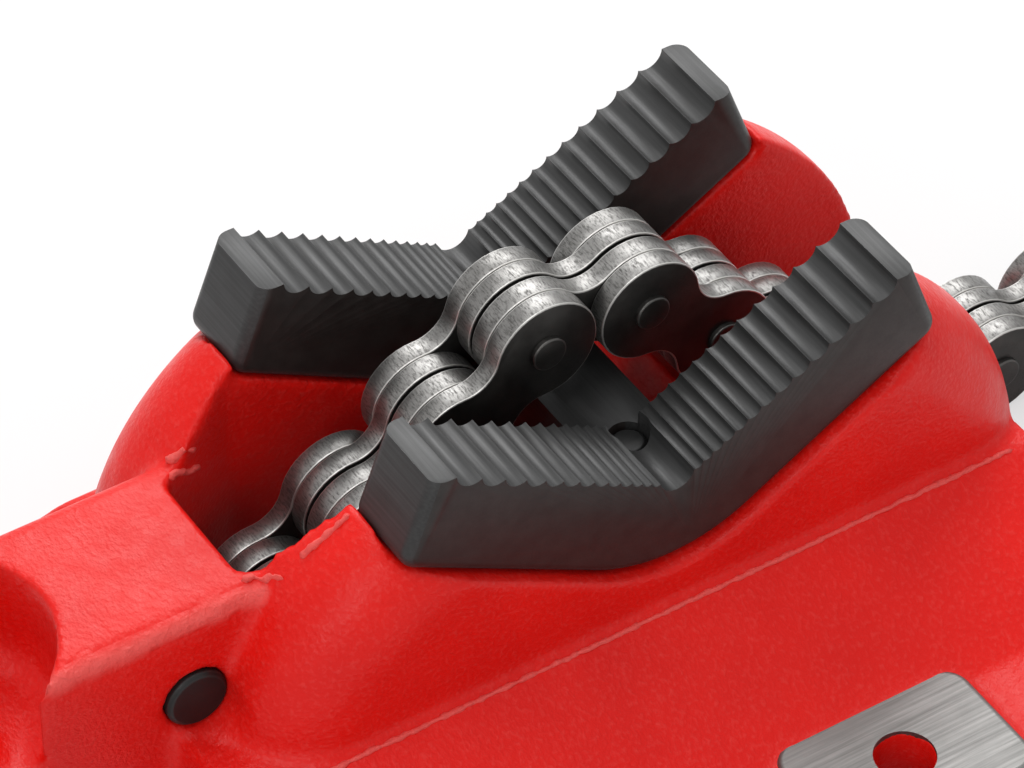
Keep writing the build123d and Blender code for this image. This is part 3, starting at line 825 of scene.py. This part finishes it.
def joined(*parts):
    """One bmesh that holds several, which are freed."""
    whole = bmesh.new()
    for part in parts:
        mesh = bpy.data.meshes.new("part")
        part.to_mesh(mesh)
        part.free()
        whole.from_mesh(mesh)
        bpy.data.meshes.remove(mesh)
    return whole


# %% [markdown]
# Typing the place of twenty links would go wrong as soon as one size changes.
# The pivots come from the frame's joints, so each link is laid between its
# own pivot and the next one. The last link has no joint at its far end, so it
# points the same way as the one before it.

# %% Links in place
pivots = [Vector(joint["pos_m"]) for joint in frame["joints"]
          if joint["name"].startswith("chain_")]
pivots.append(pivots[-1] + Vector((PITCH, 0, 0)))

links = sorted(name for name in frame["nodes"] if name.startswith("chain_link"))
for node, start, end in zip(links, pivots, pivots[1:]):
    if node.endswith("inner"):
        link = joined(plate_bmesh(INNER_NEAR), plate_bmesh(-INNER_NEAR - PLATE_THICKNESS))
    else:
        link = joined(plate_bmesh(OUTER_NEAR), plate_bmesh(-OUTER_NEAR - PLATE_THICKNESS),
                      pin_bmesh(-half), pin_bmesh(half))
    slope = atan2(end.z - start.z, end.x - start.x)
    bmesh.ops.rotate(link, verts=link.verts, cent=Vector(),
                     matrix=Matrix.Rotation(-slope, 3, "Y"))
    bmesh.ops.translate(link, verts=link.verts, vec=(start + end) / 2)
    smooth_but_sharp(link)
    mesh_object(node + "_look", link, FINISHES["chain_steel"], body_of(node),
                [node])
print("links", len(links), "waist radius", round(waist_radius / MM, 2), "mm")

# %% [markdown]
# ## Floor and light
# The photograph is a studio shot on white. A pale floor takes the shadow, a
# wide soft lamp behind and above lights the tops and shines back from them to
# the camera, and weaker ones from above and from the front open the shadows.
# More light would whiten the floor but bleach the paint. Instead the camera
# alone sees the floor partly as glowing paper, which keeps it white where the
# red casting would tint it.

# %% Floor
FLOOR_SIZE = 6.0
FLOOR_GAP = 0.5 * MM
FLOOR_GLOW = 0.6

bm = bmesh.new()
bmesh.ops.create_grid(bm, x_segments=1, y_segments=1, size=FLOOR_SIZE / 2)
floor_mesh = bpy.data.meshes.new("floor")
bm.to_mesh(floor_mesh)
bm.free()
floor = bpy.data.objects.new("floor", floor_mesh)
floor.location.z = -FLOOR_GAP
scene.collection.objects.link(floor)

graph = Graph("floor_paper")
graph.set({"Base Color": (0.86, 0.86, 0.86, 1.0), "Roughness": 0.9,
           "Specular IOR Level": 0.1})
glow = graph.node("ShaderNodeEmission")
both = graph.node("ShaderNodeMixShader")
camera_ray = graph.node("ShaderNodeLightPath").outputs["Is Camera Ray"]
graph.wire(graph.math("MULTIPLY", camera_ray, FLOOR_GLOW), both.inputs["Fac"])
graph.wire(graph.shader.outputs["BSDF"], both.inputs[1])
graph.wire(glow.outputs["Emission"], both.inputs[2])
graph.wire(both.outputs["Shader"], graph.tree.nodes["Material Output"].inputs["Surface"])
floor_mesh.materials.append(graph.material)

# %% [markdown]
# The world is white to the camera and in reflections, so that steel mirrors a
# bright room, but it lights the object with less than half of that strength.
# Light Path tells these rays apart. One white strength for all rays would be
# simpler, and would wash out the shadows under the jaw.

# %% World
WORLD_LIGHT = 0.48

world = bpy.data.worlds.new("studio")
scene.world = world
world.use_nodes = True
tree = world.node_tree
background = tree.nodes["Background"]
path = tree.nodes.new("ShaderNodeLightPath")
shown = path.outputs["Is Camera Ray"]
for ray in ("Is Transmission Ray", "Is Glossy Ray"):
    either = tree.nodes.new("ShaderNodeMath")
    either.operation = "MAXIMUM"
    tree.links.new(shown, either.inputs[0])
    tree.links.new(path.outputs[ray], either.inputs[1])
    shown = either.outputs["Value"]
strength = tree.nodes.new("ShaderNodeMapRange")
strength.inputs["To Min"].default_value = WORLD_LIGHT
strength.inputs["To Max"].default_value = 1.0
tree.links.new(shown, strength.inputs["Value"])
tree.links.new(strength.outputs["Result"], background.inputs["Strength"])
background.inputs["Color"].default_value = (1.0, 1.0, 1.0, 1.0)
print("world light", WORLD_LIGHT)

# %% [markdown]
# Softboxes are large lamps with even edges, and a disk-shaped area lamp is
# the nearest thing to one. Each lamp has a place, a width in metres and a
# power in watts. All of them aim at a point above the middle of the bolts.

# %% Lamps
LAMP_AIM = Vector((0.0, 0.0, 0.05))
LAMPS = {
    "back_softbox": ((0.62, 1.0, 1.15), 1.2, 18.0),
    "top_softbox": ((-0.3, 0.1, 1.5), 1.0, 6.0),
    "front_fill": ((-1.2, -0.9, 0.9), 0.8, 5.5),
}
for name, (place, size, power) in LAMPS.items():
    light = bpy.data.lights.new(name, "AREA")
    light.shape = "DISK"
    light.size = size
    light.energy = power
    lamp = bpy.data.objects.new(name, light)
    lamp.location = place
    lamp.rotation_euler = (LAMP_AIM - Vector(place)).to_track_quat("-Z", "Y").to_euler()
    scene.collection.objects.link(lamp)

scene.view_settings.view_transform = "Standard"
print("lamps", ", ".join(LAMPS))
